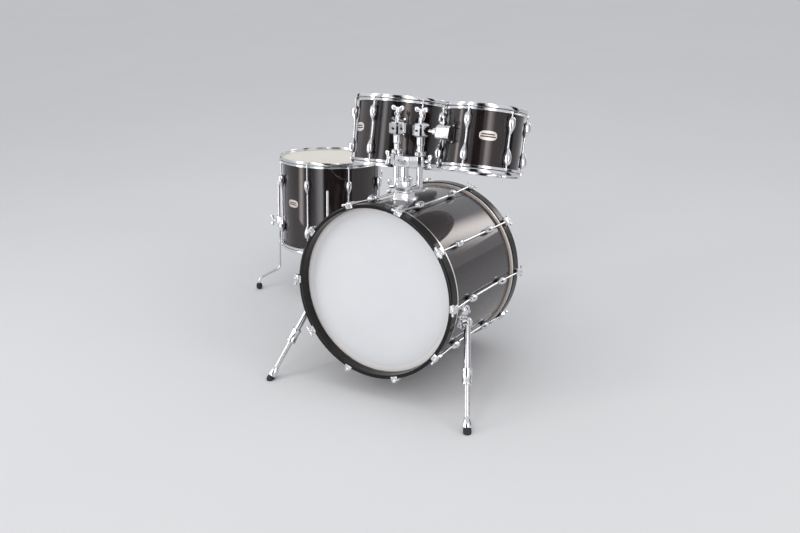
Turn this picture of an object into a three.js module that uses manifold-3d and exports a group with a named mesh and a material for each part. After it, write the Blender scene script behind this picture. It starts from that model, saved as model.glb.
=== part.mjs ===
// Acoustic drum kit: a bass drum with two spurs, two rack toms on a double holder, and a floor tom
// on three legs. Millimetres, +Z up, the audience side faces -Y and the drummer sits at +Y.
// The origin is on the floor under the middle of the kit's bounding box.
import * as THREE from 'three';
import { mergeVertices } from 'three/addons/utils/BufferGeometryUtils.js';
import Module from 'manifold-3d';

const INCH = 25.4;
const RAD = Math.PI / 180;
const GAP = 0.3; // clearance between pieces that touch

// Every drum leans back by this angle: the bass drum's nose is up, resting on its rear hoop.
const LEAN = 8.15 * RAD;

const BASS = { r: 11 * INCH, length: 17 * INCH, wall: 7.5, sides: 48, lugs: 10, firstLug: 0 };
const LEFT_TOM = { r: 6 * INCH, length: 8.5 * INCH, wall: 6, sides: 30, lugs: 6, firstLug: 24.7 * RAD };
const RIGHT_TOM = {
  r: 5 * INCH, length: 7.5 * INCH, wall: 6, sides: 30, lugs: 6, firstLug: 31.7 * RAD,
};
const FLOOR_TOM = { r: 8 * INCH, length: 14 * INCH, wall: 7, sides: 36, lugs: 8, firstLug: 8 * RAD };

const HEAD = { film: 1.2, ring: 6.5, grip: 9 }; // film thickness, metal ring's width and its height
const BASS_RING = 9; // width of the wider metal ring on a bass drum head
const BASS_HOOP = { outer: 292, inner: 278.5, seat: 1.8, edge: 39.5 };
const CLAW = {
  rodOut: 6.5, wall: 4.5, lowWall: 1.5, halfWidth: 12.5, grip: 26, cap: 2.5, key: 3.8, keyTop: 13,
};
const HANDLE = { half: 20, thick: 3.5, low: 2.5, high: 11.5 }; // a tension rod's crossbar, above its claw
const LUG = { stand: 12, half: 26, radius: 11, tip: 5, neck: 3.5, depth: 1.3, spread: 0.26 };
const BASS_SPREAD = 0.25;
const FLANGE = { top: 13, skirt: 9, ear: 8, earThick: 3.5 }; // flanged hoop: heights about the head
const ROD = 2.8; // tension rod radius
const ROD_CLEAR = 0.8; // how much wider a casing or a bore is than the rod in it

const FLOOR_TOM_AT = new THREE.Vector3(-654, 465.4, -74.3); // centre of its lower edge
const LEFT_TOM_AT = new THREE.Vector3(-145, 151, 461); // centres of the rack toms
const RIGHT_TOM_AT = new THREE.Vector3(212, 79, 474);
const LEFT_TILT = 10.5 * RAD;
const RIGHT_TILT = 13 * RAD;
const TOM_ROLL = -1.3 * RAD;

const POST = { x: 0, y: -60, r: 14.3, wall: 2.5, bottom: 235, top: 417, hole: 30 };
const BASE = {
  footHalf: 40, topHalf: 27, depthRatio: 0.85, skirt: 46, skirtTop: 301, bossTop: 340, boss: 21, ear: 33,
  earDrop: 16, earHalf: 12, earSide: 9, wingBearing: 233 * RAD,
};
const LOCK = { wall: 7.5, height: 14, lug: 15, lugHalf: 5 };
const RECEIVER = { bottom: 388, top: 424, end: 18.5, boss: 21 };
const ARM = { x: 44, y: -37, r: 11, bottom: 318, neck: 14, neckBottom: 462 };
const BALL = { z: 508, r: 19, housing: 28, half: 21, port: 15, slot: 9, nut: 22, nutR: 9 };
const SPLIT = new THREE.Vector3(0.47, -0.88, 0); // where the ball clamps are split
const HEX = 6.2; // hexagonal rod, across corners from its axis
// Each tom's mount: its reach from the ball, its size, and the point beside the tom's centre that its rod
// points at, given by a bearing and a radius.
const LEFT_MOUNT = { reach: 46, half: 12, side: 20, height: 25, inset: 20, rod: 55, bearing: 0, radius: 0 };
const RIGHT_MOUNT = {
  reach: 88.5, half: 22, side: 18, height: 25, inset: 0, rod: 108, bearing: 238 * RAD, radius: 152,
};
const PLATE = { thick: 4, half: 26, height: 32 };

const SPUR = {
  pivot: new THREE.Vector3(291, -145, -73),
  foot: new THREE.Vector3(385.2, -307.9, -372.7),
  eye: 15, eyeHalf: 11.8, disc: 23, discHalf: 5, pin: 4, padThick: 5, padHalf: 30, padSide: 26,
  tubeOut: 11.2, tubeIn: 9.4, tubeStart: 11, sleeveStart: 149, sleeveEnd: 202, sleeve: 17.4,
  legR: 9.1, legStart: 95, boreStart: 40, bellStart: 301, tipStart: 336, tipEnd: 359, bell: 16, tip: 13.6,
};

const LEG = {
  bearings: [210.5 * RAD, 300.5 * RAD, 75.5 * RAD], toes: [224 * RAD, 300.5 * RAD, 75.5 * RAD],
  out: 18, r: 5.2, top: 262, bend: 16, toe: 90, drop: 44, shin: 32, ball: 14, sink: 1.2,
  bracketZ: 86, bracketHalf: 23, bracketSide: 15, bracketDepth: 29,
};
const WING = { hub: 8, hubLength: 18, span: 25, lobe: 9.5, lobeHalf: 2.6, stem: 4 };

const CHROME = { color: 0xd6d8dc, roughness: 0.12, metalness: 1 };
const LACQUER = { color: 0x1d1416, roughness: 0.1, metalness: 0 };
const BLACK_HOOP = { color: 0x14110f, roughness: 0.15, metalness: 0 };
const SATIN = { color: 0xc6c8c6, roughness: 0.35, metalness: 1 };
const WHITE_FILM = { color: 0xe6e7ea, roughness: 0.45, metalness: 0 };
const COATED_FILM = { color: 0xdedacf, roughness: 0.8, metalness: 0 };
const CLEAR_FILM = { color: 0xcfd0cf, roughness: 0.3, metalness: 0 };
const RUBBER = { color: 0x15161a, roughness: 0.8, metalness: 0 };
const RESIN = { color: 0x1c1c1e, roughness: 0.4, metalness: 0 };

// Height of the bass drum's centre above the floor, with its rear hoop resting on a flat of its rim.
const KIT_HEIGHT = BASS_HOOP.outer * Math.cos(Math.PI / BASS.sides) * Math.cos(LEAN)
  + (BASS.length / 2 + BASS_HOOP.edge) * Math.sin(LEAN);

const wasm = await Module();
wasm.setup();

// ---------------------------------------------------------------- solids and boolean work

// A manifold solid from a closed geometry, without the zero-area triangles at a lathe's poles.
function solid(geometry) {
  const bare = geometry.clone();
  bare.deleteAttribute('normal');
  bare.deleteAttribute('uv');
  const merged = mergeVertices(bare, 1e-4);
  const index = merged.index.array;
  const triVerts = [];
  for (let i = 0; i < index.length; i += 3) {
    const [a, b, c] = [index[i], index[i + 1], index[i + 2]];
    if (a !== b && b !== c && c !== a) triVerts.push(a, b, c);
  }
  return new wasm.Manifold(new wasm.Mesh({
    numProp: 3,
    vertProperties: new Float32Array(merged.attributes.position.array),
    triVerts: new Uint32Array(triVerts),
  }));
}

function geometryOf(body) {
  const { vertProperties, triVerts } = body.getMesh();
  const geometry = new THREE.BufferGeometry();
  geometry.setAttribute('position', new THREE.BufferAttribute(new Float32Array(vertProperties), 3));
  geometry.setIndex(new THREE.BufferAttribute(new Uint32Array(triVerts), 1));
  geometry.computeVertexNormals();
  return geometry;
}

function join(...parts) {
  return geometryOf(parts.map(solid).reduce((sum, part) => sum.add(part)));
}

function cut(body, ...tools) {
  return geometryOf(tools.map(solid).reduce((left, tool) => left.subtract(tool), solid(body)));
}

function common(a, b) {
  return geometryOf(solid(a).intersect(solid(b)));
}

// ---------------------------------------------------------------- basic shapes, axis along +Z

function turned(profile, sides) {
  const points = profile.map(([r, z]) => new THREE.Vector2(r, z));
  return new THREE.LatheGeometry(points, sides).rotateX(Math.PI / 2).rotateZ(Math.PI / sides);
}

function ring(inner, outer, z0, z1, sides) {
  return turned([[inner, z0], [outer, z0], [outer, z1], [inner, z1], [inner, z0]], sides);
}

function rod(r, z0, z1, sides = 10) {
  const height = z1 - z0;
  return new THREE.CylinderGeometry(r, r, height, sides)
    .rotateX(Math.PI / 2).rotateZ(Math.PI / sides).translate(0, 0, z0 + height / 2);
}

function block(x0, x1, y0, y1, z0, z1) {
  return new THREE.BoxGeometry(x1 - x0, y1 - y0, z1 - z0)
    .translate((x0 + x1) / 2, (y0 + y1) / 2, (z0 + z1) / 2);
}

// Moves a shape so that its +Z axis points along a direction from a given point.
function aim(geometry, from, direction, up = new THREE.Vector3(0, 0, 1)) {
  const z = direction.clone().normalize();
  const side = Math.abs(z.dot(up)) > 0.99 ? new THREE.Vector3(1, 0, 0) : up;
  const x = new THREE.Vector3().crossVectors(side, z).normalize();
  const y = new THREE.Vector3().crossVectors(z, x);
  return geometry.applyMatrix4(new THREE.Matrix4().makeBasis(x, y, z).setPosition(from));
}

function bar(from, to, r, sides = 6) {
  const span = new THREE.Vector3().subVectors(to, from);
  return aim(rod(r, 0, span.length(), sides), from, span);
}

function mesh(name, geometry, finish) {
  const made = new THREE.Mesh(geometry, new THREE.MeshStandardMaterial(finish));
  made.name = name;
  return made;
}

// A wing bolt along +Z: stem, hub and two rounded lobes, with its stem's tip at the origin.
function wingBolt(stemLength) {
  const hubTop = stemLength + WING.hubLength;
  const stem = rod(WING.stem, 0, stemLength + 1, 6);
  const shoulder = stemLength + WING.hubLength * 0.6;
  const hub = turned([
    [0, stemLength], [WING.hub, stemLength], [WING.hub, shoulder], [WING.stem, hubTop], [0, hubTop],
  ], 6);
  const lobes = [-1, 1].map((side) => {
    const plate = new THREE.CylinderGeometry(WING.lobe, WING.lobe, 2 * WING.lobeHalf, 7);
    return plate.scale(1.3, 1, 1).translate(side * (WING.span - 1.3 * WING.lobe), 0, hubTop - 3);
  });
  return join(stem, hub, ...lobes);
}

// ---------------------------------------------------------------- drums, standing on +Z

function lugAngles(drum) {
  return Array.from({ length: drum.lugs }, (_, i) => drum.firstLug + (i * 2 * Math.PI) / drum.lugs);
}

function lugHeight(drum) {
  return drum.length * (drum === BASS ? BASS_SPREAD : LUG.spread);
}

// One lug: two pear-shaped casings seated on the shell, joined by a slender bridge.
function lug(drum) {
  const z = lugHeight(drum);
  const { half, radius, neck, tip } = LUG;
  return turned([
    [0, -z - half], [tip, -z - half], [radius, -z], [neck, -z + half],
    [neck, z - half], [radius, z], [tip, z + half], [0, z + half],
  ], 6).scale(LUG.depth, 1, 1).translate(drum.r + LUG.stand, 0, 0);
}

// A shell with its lugs. The bass drum's is bored for the holder's post.
function shell(drum) {
  const half = drum.length / 2;
  const tube = ring(drum.r - drum.wall, drum.r, -half, half, drum.sides);
  const lugs = lugAngles(drum).map((angle) => lug(drum).rotateZ(angle));
  const body = join(tube, ...lugs);
  if (drum !== BASS) return body;
  const postHole = rod(POST.r + 2, drum.r - POST.hole, drum.r + POST.hole, 16);
  return cut(body, postHole.translate(POST.x, POST.y, 0).rotateX(-Math.PI / 2));
}

// A head: a film over the bearing edge with a metal ring round it, facing +Z from height 0.
function head(drum, width = HEAD.ring) {
  const top = GAP + HEAD.film;
  const inner = drum.r + 0.5;
  const outer = drum.r + width;
  return turned([
    [0, GAP], [inner, GAP], [inner, -HEAD.grip], [outer, -HEAD.grip], [outer, top], [0, top],
  ], drum.sides);
}

// A triple-flanged hoop with an ear and a tension rod over each lug, seated at height 0.
function flangedHoop(drum) {
  const inner = drum.r + 6;
  const mid = HEAD.film + 2 * GAP;
  const seat = drum.r + 1.5;
  const { top, skirt, ear, earThick } = FLANGE;
  const profile = [
    [seat, mid], [inner + 0.9, mid], [inner + 0.9, -skirt], [inner + 5, -skirt], [inner + 3, top],
    [seat, top], [seat, mid],
  ];
  const lugTop = lugHeight(drum) + LUG.half - drum.length / 2;
  const ears = lugAngles(drum).flatMap((angle) => {
    const x = drum.r + LUG.stand;
    return [
      block(inner + 2, x + ear - 1, -ear, ear, -skirt, earThick - skirt),
      rod(ROD + ROD_CLEAR, lugTop + GAP, 2, 4).translate(x, 0, 0),
    ].map((part) => part.rotateZ(angle));
  });
  return join(turned(profile, drum.sides), ...ears);
}

// A plain bass drum hoop with claws, tension rods and their handles, seated at height 0.
// The two lowest rods have short claws and plain key heads, which keeps them clear of the floor.
function bassHoop(drum) {
  const body = ring(BASS_HOOP.inner, BASS_HOOP.outer, BASS_HOOP.seat, BASS_HOOP.edge, drum.sides);
  const lugTop = lugHeight(drum) + LUG.half - drum.length / 2;
  const { outer, inner, edge } = BASS_HOOP;
  const out = outer + CLAW.rodOut;
  const claws = lugAngles(drum).flatMap((angle) => {
    const lowest = Math.sin(angle) < -0.9;
    const start = new THREE.Vector3(drum.r + LUG.stand, 0, lugTop + 2 * GAP);
    const cap = edge + CLAW.cap;
    const side = CLAW.halfWidth;
    const parts = [
      block(outer - 1, out + (lowest ? CLAW.lowWall : CLAW.wall), -side, side, edge - CLAW.grip, cap),
      block(inner + 4, outer, -side, side, edge - 0.5, cap),
      bar(start, new THREE.Vector3(out, 0, cap + HANDLE.low + 1), ROD + ROD_CLEAR, 4),
    ];
    const { half, thick, low, high } = HANDLE;
    const key = () => rod(CLAW.key, edge, edge + CLAW.keyTop, 6).translate(out - 1, 0, 0);
    const crossbar = () => block(out - thick, out + thick, -half, half, cap + low, cap + high);
    parts.push(lowest ? key() : crossbar());
    return parts.map((part) => part.rotateZ(angle));
  });
  return join(body, ...claws);
}

// The shape in a mirror: scale factors of 1 and -1, and each triangle's order turned round.
function mirror(geometry, x, z) {
  const { array } = geometry.scale(x, 1, z).index;
  for (let i = 0; i < array.length; i += 3) [array[i], array[i + 1]] = [array[i + 1], array[i]];
  return geometry;
}

// The five pieces of a drum, with its axis on +Z and its middle at the origin.
function drumPieces(prefix, drum, ends, films, hoopFinish) {
  const half = drum.length / 2;
  const isBass = drum === BASS;
  const ringWidth = isBass ? BASS_RING : HEAD.ring;
  const hoop = isBass ? bassHoop : flangedHoop;
  const pieces = [mesh(`${prefix}_shell`, shell(drum), LACQUER)];
  ends.forEach((end, side) => {
    const place = (geometry) => {
      const seated = geometry.translate(0, 0, half);
      return side === 0 ? seated : mirror(seated, 1, -1);
    };
    pieces.push(mesh(`${prefix}_${end}_head`, place(head(drum, ringWidth)), films[side]));
    pieces.push(mesh(`${prefix}_${end}_hoop`, place(hoop(drum)), hoopFinish));
  });
  return pieces;
}

function tomGroup(prefix, drum, centre, tilt) {
  const group = new THREE.Group();
  group.add(...drumPieces(prefix, drum, ['top', 'bottom'], [COATED_FILM, CLEAR_FILM], CHROME));
  group.position.copy(centre);
  group.rotation.set(-tilt, TOM_ROLL, 0);
  group.updateMatrix();
  return group;
}

// ---------------------------------------------------------------- tom holder, standing on the bass drum

// A collar round a pipe with a small clamping lug on its side.
function lockCollar(bore, bottom) {
  const top = bottom + LOCK.height;
  const { wall, lug: reach, lugHalf } = LOCK;
  const ear = block(bore + wall / 2, bore + reach, -lugHalf, lugHalf, bottom + 2, top - 2);
  return cut(join(rod(bore + wall, bottom, top, 12), ear), rod(bore + 2 * GAP, bottom - 1, top + 1, 12));
}

function holderBase() {
  const [topCorner, footCorner] = [BASE.topHalf * Math.SQRT2, BASE.footHalf * Math.SQRT2];
  const skirt = new THREE.CylinderGeometry(topCorner, footCorner, BASE.skirt, 4)
    .rotateX(Math.PI / 2).rotateZ(Math.PI / 4).scale(1, BASE.depthRatio, 1)
    .translate(0, 0, BASE.skirtTop - BASE.skirt / 2);
  const boss = rod(BASE.boss, BASE.skirtTop - 5, BASE.bossTop, 8);
  const earZ = BASE.bossTop - BASE.earDrop;
  const ear = block(
    BASE.boss / 2, BASE.ear, -BASE.earSide, BASE.earSide, earZ - BASE.earHalf, earZ + BASE.earHalf,
  ).rotateZ(BASE.wingBearing);
  const body = join(skirt, boss, ear).translate(POST.x, POST.y, 0);
  const drum = rod(BASS.r + GAP, -BASS.length, BASS.length, BASS.sides).rotateX(Math.PI / 2);
  const bore = rod(POST.r + 2 * GAP, POST.bottom, BASE.bossTop + 1, 12).translate(POST.x, POST.y, 0);
  return cut(body, drum, bore);
}

function receiver() {
  const { bottom, top, end } = RECEIVER;
  const ends = [-1, 1].map((side) => rod(end, bottom, top, 12).translate(side * ARM.x, ARM.y, 0));
  const middle = block(-ARM.x, ARM.x, ARM.y - end * 0.98, ARM.y + end * 0.98, bottom, top);
  const boss = rod(RECEIVER.boss, bottom, top, 12).translate(POST.x, POST.y, 0);
  const bores = [-1, 1].map((side) => rod(ARM.r + 3 * GAP, bottom - 1, top + 1, 12)
    .translate(side * ARM.x, ARM.y, 0));
  const socket = rod(POST.r + 2 * GAP, bottom - 1, POST.top + GAP, 12).translate(POST.x, POST.y, 0);
  return cut(join(...ends, middle, boss), ...bores, socket);
}

// One arm: pipe, neck and the hollow clamp that grips the ball, split at the front.
function arm(side, rodDirection) {
  const { z, housing, half, r } = BALL;
  const pipe = rod(ARM.r, ARM.bottom, ARM.neckBottom + 1, 12);
  const neck = rod(ARM.neck, ARM.neckBottom, z - half + 2, 12);
  const clamp = turned([
    [0, z - half], [housing - 4, z - half], [housing, z - half + 5], [housing, z + half - 5],
    [housing - 4, z + half], [0, z + half],
  ], 12);
  const nut = rod(BALL.nutR, z + half - 1, z + half + BALL.nut, 6);
  const centre = new THREE.Vector3(0, 0, z);
  const hollow = new THREE.SphereGeometry(r + 1.4, 10, 6).translate(0, 0, z);
  const port = aim(rod(BALL.port, 0, housing + 5, 12), centre, rodDirection);
  const gap = block(-half + 5, half - 5, -BALL.slot / 2, BALL.slot / 2, 0, housing + 5);
  const slot = aim(gap, centre, SPLIT);
  return cut(join(pipe, neck, clamp, nut), hollow, port, slot).translate(side * ARM.x, ARM.y, 0);
}

// A ball with the hexagonal rod that carries the tom.
function ballRod(rodDirection, length) {
  const ball = new THREE.SphereGeometry(BALL.r, 10, 6);
  const hexagon = aim(rod(HEX, 0, length, 6), new THREE.Vector3(), rodDirection);
  return join(ball, hexagon);
}

// A tom's mount: a curved plate on the shell and a block bored for the hexagonal rod.
function tomMount(drum, tom, ball, rodDirection, spec) {
  const { reach, half, side, height } = spec;
  const centre = ball.clone().addScaledVector(rodDirection, reach);
  const body = aim(block(-side, side, -height, height, -half, half + spec.inset), centre, rodDirection);
  const local = centre.clone().applyMatrix4(tom.matrix.clone().invert());
  const inner = drum.r + GAP;
  const low = local.z - PLATE.height;
  const high = local.z + PLATE.height;
  const wedge = block(inner - PLATE.half, inner + PLATE.half, -PLATE.half, PLATE.half, low - 1, high + 1);
  const plate = common(
    ring(inner, inner + PLATE.thick, low, high, drum.sides),
    wedge.rotateZ(Math.atan2(local.y, local.x)),
  ).applyMatrix4(tom.matrix);
  const barrel = rod(inner, -drum.length, drum.length, drum.sides).applyMatrix4(tom.matrix);
  const bore = aim(rod(HEX + ROD_CLEAR, -reach, half + drum.r, 12), centre, rodDirection);
  return cut(join(cut(body, barrel), plate), bore);
}

function holderPieces(leftTom, rightTom) {
  const up = new THREE.Vector3(0, 0, 1);
  const onPost = (geometry) => geometry.translate(POST.x, POST.y, 0);
  const bossOut = new THREE.Vector3(Math.cos(BASE.wingBearing), Math.sin(BASE.wingBearing), 0);
  const baseWingAt = new THREE.Vector3(POST.x, POST.y, BASE.bossTop - BASE.earDrop)
    .addScaledVector(bossOut, BASE.ear + GAP);
  const baseWing = aim(wingBolt(5).rotateZ(Math.PI / 2), baseWingAt, bossOut);
  const pieces = [
    mesh('holder_base', holderBase(), CHROME),
    mesh('holder_base_wing', baseWing, CHROME),
    mesh('holder_post_lock', onPost(lockCollar(POST.r, BASE.bossTop + GAP)), CHROME),
    mesh('holder_post', onPost(ring(POST.r - POST.wall, POST.r, POST.bottom, POST.top, 12)), CHROME),
    mesh('holder_receiver', receiver(), CHROME),
  ];
  const sides = [
    { name: 'left', side: -1, tom: leftTom, drum: LEFT_TOM, spec: LEFT_MOUNT },
    { name: 'right', side: 1, tom: rightTom, drum: RIGHT_TOM, spec: RIGHT_MOUNT },
  ];
  for (const { name, side, tom, drum, spec } of sides) {
    const ball = new THREE.Vector3(side * ARM.x, ARM.y, BALL.z);
    const aside = new THREE.Vector3(Math.cos(spec.bearing), Math.sin(spec.bearing), 0);
    const target = tom.position.clone().addScaledVector(aside, spec.radius);
    const direction = target.sub(ball).setZ(0).normalize();
    const outward = new THREE.Vector3(side, 0, 0);
    const outerWing = new THREE.Vector3(side * ARM.x, ARM.y, (RECEIVER.bottom + RECEIVER.top) / 2)
      .addScaledVector(outward, RECEIVER.end + GAP);
    const lock = lockCollar(ARM.r, RECEIVER.top + GAP).rotateZ(-Math.PI / 2)
      .translate(side * ARM.x, ARM.y, 0);
    const clampWing = new THREE.Vector3(ball.x, ball.y, BALL.z + BALL.half + BALL.nut + GAP);
    const mountWing = ball.clone().addScaledVector(direction, spec.reach)
      .setZ(BALL.z + spec.height + GAP);
    const shaft = ballRod(direction, spec.rod).translate(ball.x, ball.y, ball.z);
    pieces.push(
      mesh(`${name}_receiver_wing`, aim(wingBolt(3).rotateZ(Math.PI / 2), outerWing, outward), CHROME),
      mesh(`${name}_arm_lock`, lock, CHROME),
      mesh(`${name}_arm`, arm(side, direction), CHROME),
      mesh(`${name}_clamp_wing`, wingBolt(7).translate(clampWing.x, clampWing.y, clampWing.z), CHROME),
      mesh(`${name}_ball_rod`, shaft, RESIN),
      mesh(`${name}_tom_mount`, tomMount(drum, tom, ball, direction, spec), CHROME),
      mesh(`${name}_mount_wing`, aim(wingBolt(3), mountWing, up), CHROME),
    );
  }
  return pieces;
}

// ---------------------------------------------------------------- spurs

// A huge slab whose top is the floor, seen from the leaning frame of the drums.
function floorSlab(height) {
  return block(-2000, 2000, -2000, 2000, -500, 0).translate(0, 0, -height).rotateX(LEAN);
}

function spurPieces(name, side) {
  const { pivot, foot } = SPUR;
  const down = new THREE.Vector3().subVectors(foot, pivot);
  const hinge = new THREE.Vector3(-down.z, 0, down.x).normalize();
  const along = (geometry) => aim(geometry, pivot, down);
  const across = (geometry, from) => aim(geometry, pivot.clone().addScaledVector(hinge, from), hinge);
  const flip = (geometry) => (side > 0 ? geometry : mirror(geometry, -1, 1));

  const discAt = -(SPUR.eyeHalf + 2 * GAP + 2 * SPUR.discHalf);
  const bearing = Math.atan2(pivot.z, pivot.x);
  const inner = BASS.r + GAP;
  const alongDrum = (geometry) => geometry.rotateX(Math.PI / 2).translate(0, pivot.y, 0);
  const pad = alongDrum(common(
    ring(inner, inner + SPUR.padThick, -SPUR.padHalf, SPUR.padHalf, BASS.sides),
    block(inner - 30, inner + 30, -SPUR.padSide, SPUR.padSide, -60, 60).rotateZ(bearing),
  ));
  const barrel = alongDrum(rod(inner, -BASS.length, BASS.length, BASS.sides));
  const disc = across(rod(SPUR.disc, 0, 2 * SPUR.discHalf, 14), discAt);
  const root = across(rod(SPUR.disc * 0.7, -14, 2, 8), discAt);
  const pin = across(rod(SPUR.pin, 0, 2 * SPUR.eyeHalf + 4, 6), -SPUR.eyeHalf - 3);
  const cap = across(rod(9, 0, 4, 8), SPUR.eyeHalf + 2 * GAP);
  const pocket = across(rod(SPUR.eye + 3, 0, 60, 12), -SPUR.eyeHalf - GAP);
  const bracket = join(cut(join(cut(join(disc, root), barrel), pad), pocket), pin, cap);

  const eye = across(rod(SPUR.eye, 0, 2 * SPUR.eyeHalf, 12), -SPUR.eyeHalf);
  const eyeHole = across(rod(SPUR.pin + 3 * GAP, 0, 2 * SPUR.eyeHalf + 2, 6), -SPUR.eyeHalf - 1);
  const tube = along(rod(SPUR.tubeOut, SPUR.tubeStart, SPUR.sleeveStart + 5, 12));
  const sleeve = along(turned([
    [0, SPUR.sleeveStart], [SPUR.sleeve - 2, SPUR.sleeveStart], [SPUR.sleeve, SPUR.sleeveStart + 3],
    [SPUR.sleeve, SPUR.sleeveEnd - 2], [SPUR.sleeve - 2, SPUR.sleeveEnd], [0, SPUR.sleeveEnd],
  ], 12));
  const bore = along(rod(SPUR.tubeIn + 0.6, SPUR.boreStart, SPUR.sleeveEnd + 1, 12));
  const upper = cut(join(eye, tube, sleeve), eyeHole, bore);

  const leg = join(
    along(rod(SPUR.legR, SPUR.legStart, SPUR.bellStart + 2, 12)),
    along(turned([
      [0, SPUR.bellStart], [SPUR.legR + 1, SPUR.bellStart], [SPUR.bell, SPUR.tipStart - 6],
      [SPUR.bell, SPUR.tipStart], [0, SPUR.tipStart],
    ], 12)),
  );
  const tip = cut(along(turned([
    [0, SPUR.tipStart + GAP], [SPUR.tip, SPUR.tipStart + GAP], [SPUR.tip, SPUR.tipEnd - 7],
    [SPUR.tip * 0.8, SPUR.tipEnd - 2], [0, SPUR.tipEnd],
  ], 12)), floorSlab(KIT_HEIGHT));

  return [
    mesh(`${name}_spur_bracket`, flip(bracket), CHROME),
    mesh(`${name}_spur_tube`, flip(upper), CHROME),
    mesh(`${name}_spur_leg`, flip(leg), SATIN),
    mesh(`${name}_spur_tip`, flip(tip), RUBBER),
  ];
}

// ---------------------------------------------------------------- floor tom

function floorTomPieces() {
  const group = new THREE.Group();
  group.position.copy(FLOOR_TOM_AT);
  const drum = new THREE.Group();
  drum.position.z = FLOOR_TOM.length / 2;
  drum.add(...drumPieces('floor_tom', FLOOR_TOM, ['top', 'bottom'], [COATED_FILM, CLEAR_FILM], CHROME));
  group.add(drum);
  const inner = FLOOR_TOM.r + GAP;
  const legX = FLOOR_TOM.r + LEG.out;
  const zLow = LEG.bracketZ - LEG.bracketHalf;
  const zHigh = LEG.bracketZ + LEG.bracketHalf;
  const outside = FLOOR_TOM.r + LEG.bracketDepth;
  const barrel = rod(inner, -10, FLOOR_TOM.length, FLOOR_TOM.sides);
  LEG.bearings.forEach((bearing, i) => {
    const name = `floor_tom_leg_${i + 1}`;
    const hole = rod(LEG.r + GAP, zLow - 1, zHigh + 1, 12).translate(legX, 0, 0);
    const box = block(FLOOR_TOM.r - 8, outside, -LEG.bracketSide, LEG.bracketSide, zLow, zHigh);
    const bracket = cut(box.rotateZ(bearing), barrel.clone(), hole.rotateZ(bearing));
    const outward = new THREE.Vector3(Math.cos(bearing), Math.sin(bearing), 0);
    const wingAt = outward.clone().multiplyScalar(outside + GAP).setZ(LEG.bracketZ);
    const wing = aim(wingBolt(3).rotateZ(Math.PI / 2), wingAt, outward);

    const top = outward.clone().multiplyScalar(legX).setZ(LEG.top);
    const toe = new THREE.Vector3(Math.cos(LEG.toes[i]), Math.sin(LEG.toes[i]), 0);
    const end = top.clone().addScaledVector(toe, LEG.toe);
    const kitY = end.y + FLOOR_TOM_AT.y;
    end.z = (LEG.ball - LEG.sink - KIT_HEIGHT + Math.sin(LEAN) * kitY) / Math.cos(LEAN) - FLOOR_TOM_AT.z;
    const ankle = end.clone().setZ(end.z + LEG.shin);
    const knee = top.clone().setZ(ankle.z + LEG.drop);
    const upper = rod(LEG.r, knee.z + LEG.bend, LEG.top, 8).translate(top.x, top.y, 0);
    const kneeTop = knee.clone().setZ(knee.z + LEG.bend + 1);
    const leg = join(upper, bentRod([kneeTop, knee, ankle, end], LEG.r));
    const ball = new THREE.SphereGeometry(LEG.ball, 10, 6).rotateX(Math.PI / 2)
      .translate(end.x, end.y, end.z);
    const socket = rod(LEG.r + 3 * GAP, -4 * GAP, 30, 8).translate(end.x, end.y, end.z);
    const slab = floorSlab(KIT_HEIGHT).translate(-FLOOR_TOM_AT.x, -FLOOR_TOM_AT.y, -FLOOR_TOM_AT.z);
    group.add(
      mesh(`${name}_bracket`, bracket, CHROME),
      mesh(`${name}_wing`, wing, CHROME),
      mesh(name, leg, CHROME),
      mesh(`${name}_foot`, cut(ball, socket, slab), RUBBER),
    );
  });
  return group;
}

// A round rod through four points, with its two corners rounded.
function bentRod([a, b, c, d], r) {
  const ease = (corner, towards, by) => corner.clone().lerp(towards, by / corner.distanceTo(towards));
  const path = new THREE.CurvePath();
  path.add(new THREE.QuadraticBezierCurve3(a, b, ease(b, c, LEG.bend)));
  path.add(new THREE.LineCurve3(ease(b, c, LEG.bend), ease(c, b, LEG.bend)));
  path.add(new THREE.QuadraticBezierCurve3(ease(c, b, LEG.bend), c, ease(c, d, LEG.bend)));
  path.add(new THREE.LineCurve3(ease(c, d, LEG.bend), d));
  const section = new THREE.Shape().absarc(0, 0, r, 0, 2 * Math.PI);
  return new THREE.ExtrudeGeometry(section, { steps: 12, curveSegments: 4, extrudePath: path });
}

// ---------------------------------------------------------------- the whole kit

const kit = new THREE.Group();
kit.rotation.x = -LEAN;
kit.position.z = KIT_HEIGHT;

const bassDrum = new THREE.Group();
bassDrum.rotation.x = Math.PI / 2;
bassDrum.add(...drumPieces('bass', BASS, ['front', 'back'], [WHITE_FILM, CLEAR_FILM], BLACK_HOOP));

const leftTom = tomGroup('left_tom', LEFT_TOM, LEFT_TOM_AT, LEFT_TILT);
const rightTom = tomGroup('right_tom', RIGHT_TOM, RIGHT_TOM_AT, RIGHT_TILT);
kit.add(bassDrum, leftTom, rightTom, floorTomPieces());
kit.add(...holderPieces(leftTom, rightTom), ...spurPieces('right', 1), ...spurPieces('left', -1));

const drumKit = new THREE.Group();
drumKit.add(kit);
drumKit.updateMatrixWorld(true);
const middle = new THREE.Box3().setFromObject(drumKit, true).getCenter(new THREE.Vector3());
drumKit.position.set(-middle.x, -middle.y, 0);

export default drumKit;
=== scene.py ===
# Acoustic drum kit: the visual model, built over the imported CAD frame. Lengths are in millimetres in
# each piece's own frame, and become metres when the piece is made.
import math

import bmesh
import bpy
from mathutils import Matrix, Vector


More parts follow.
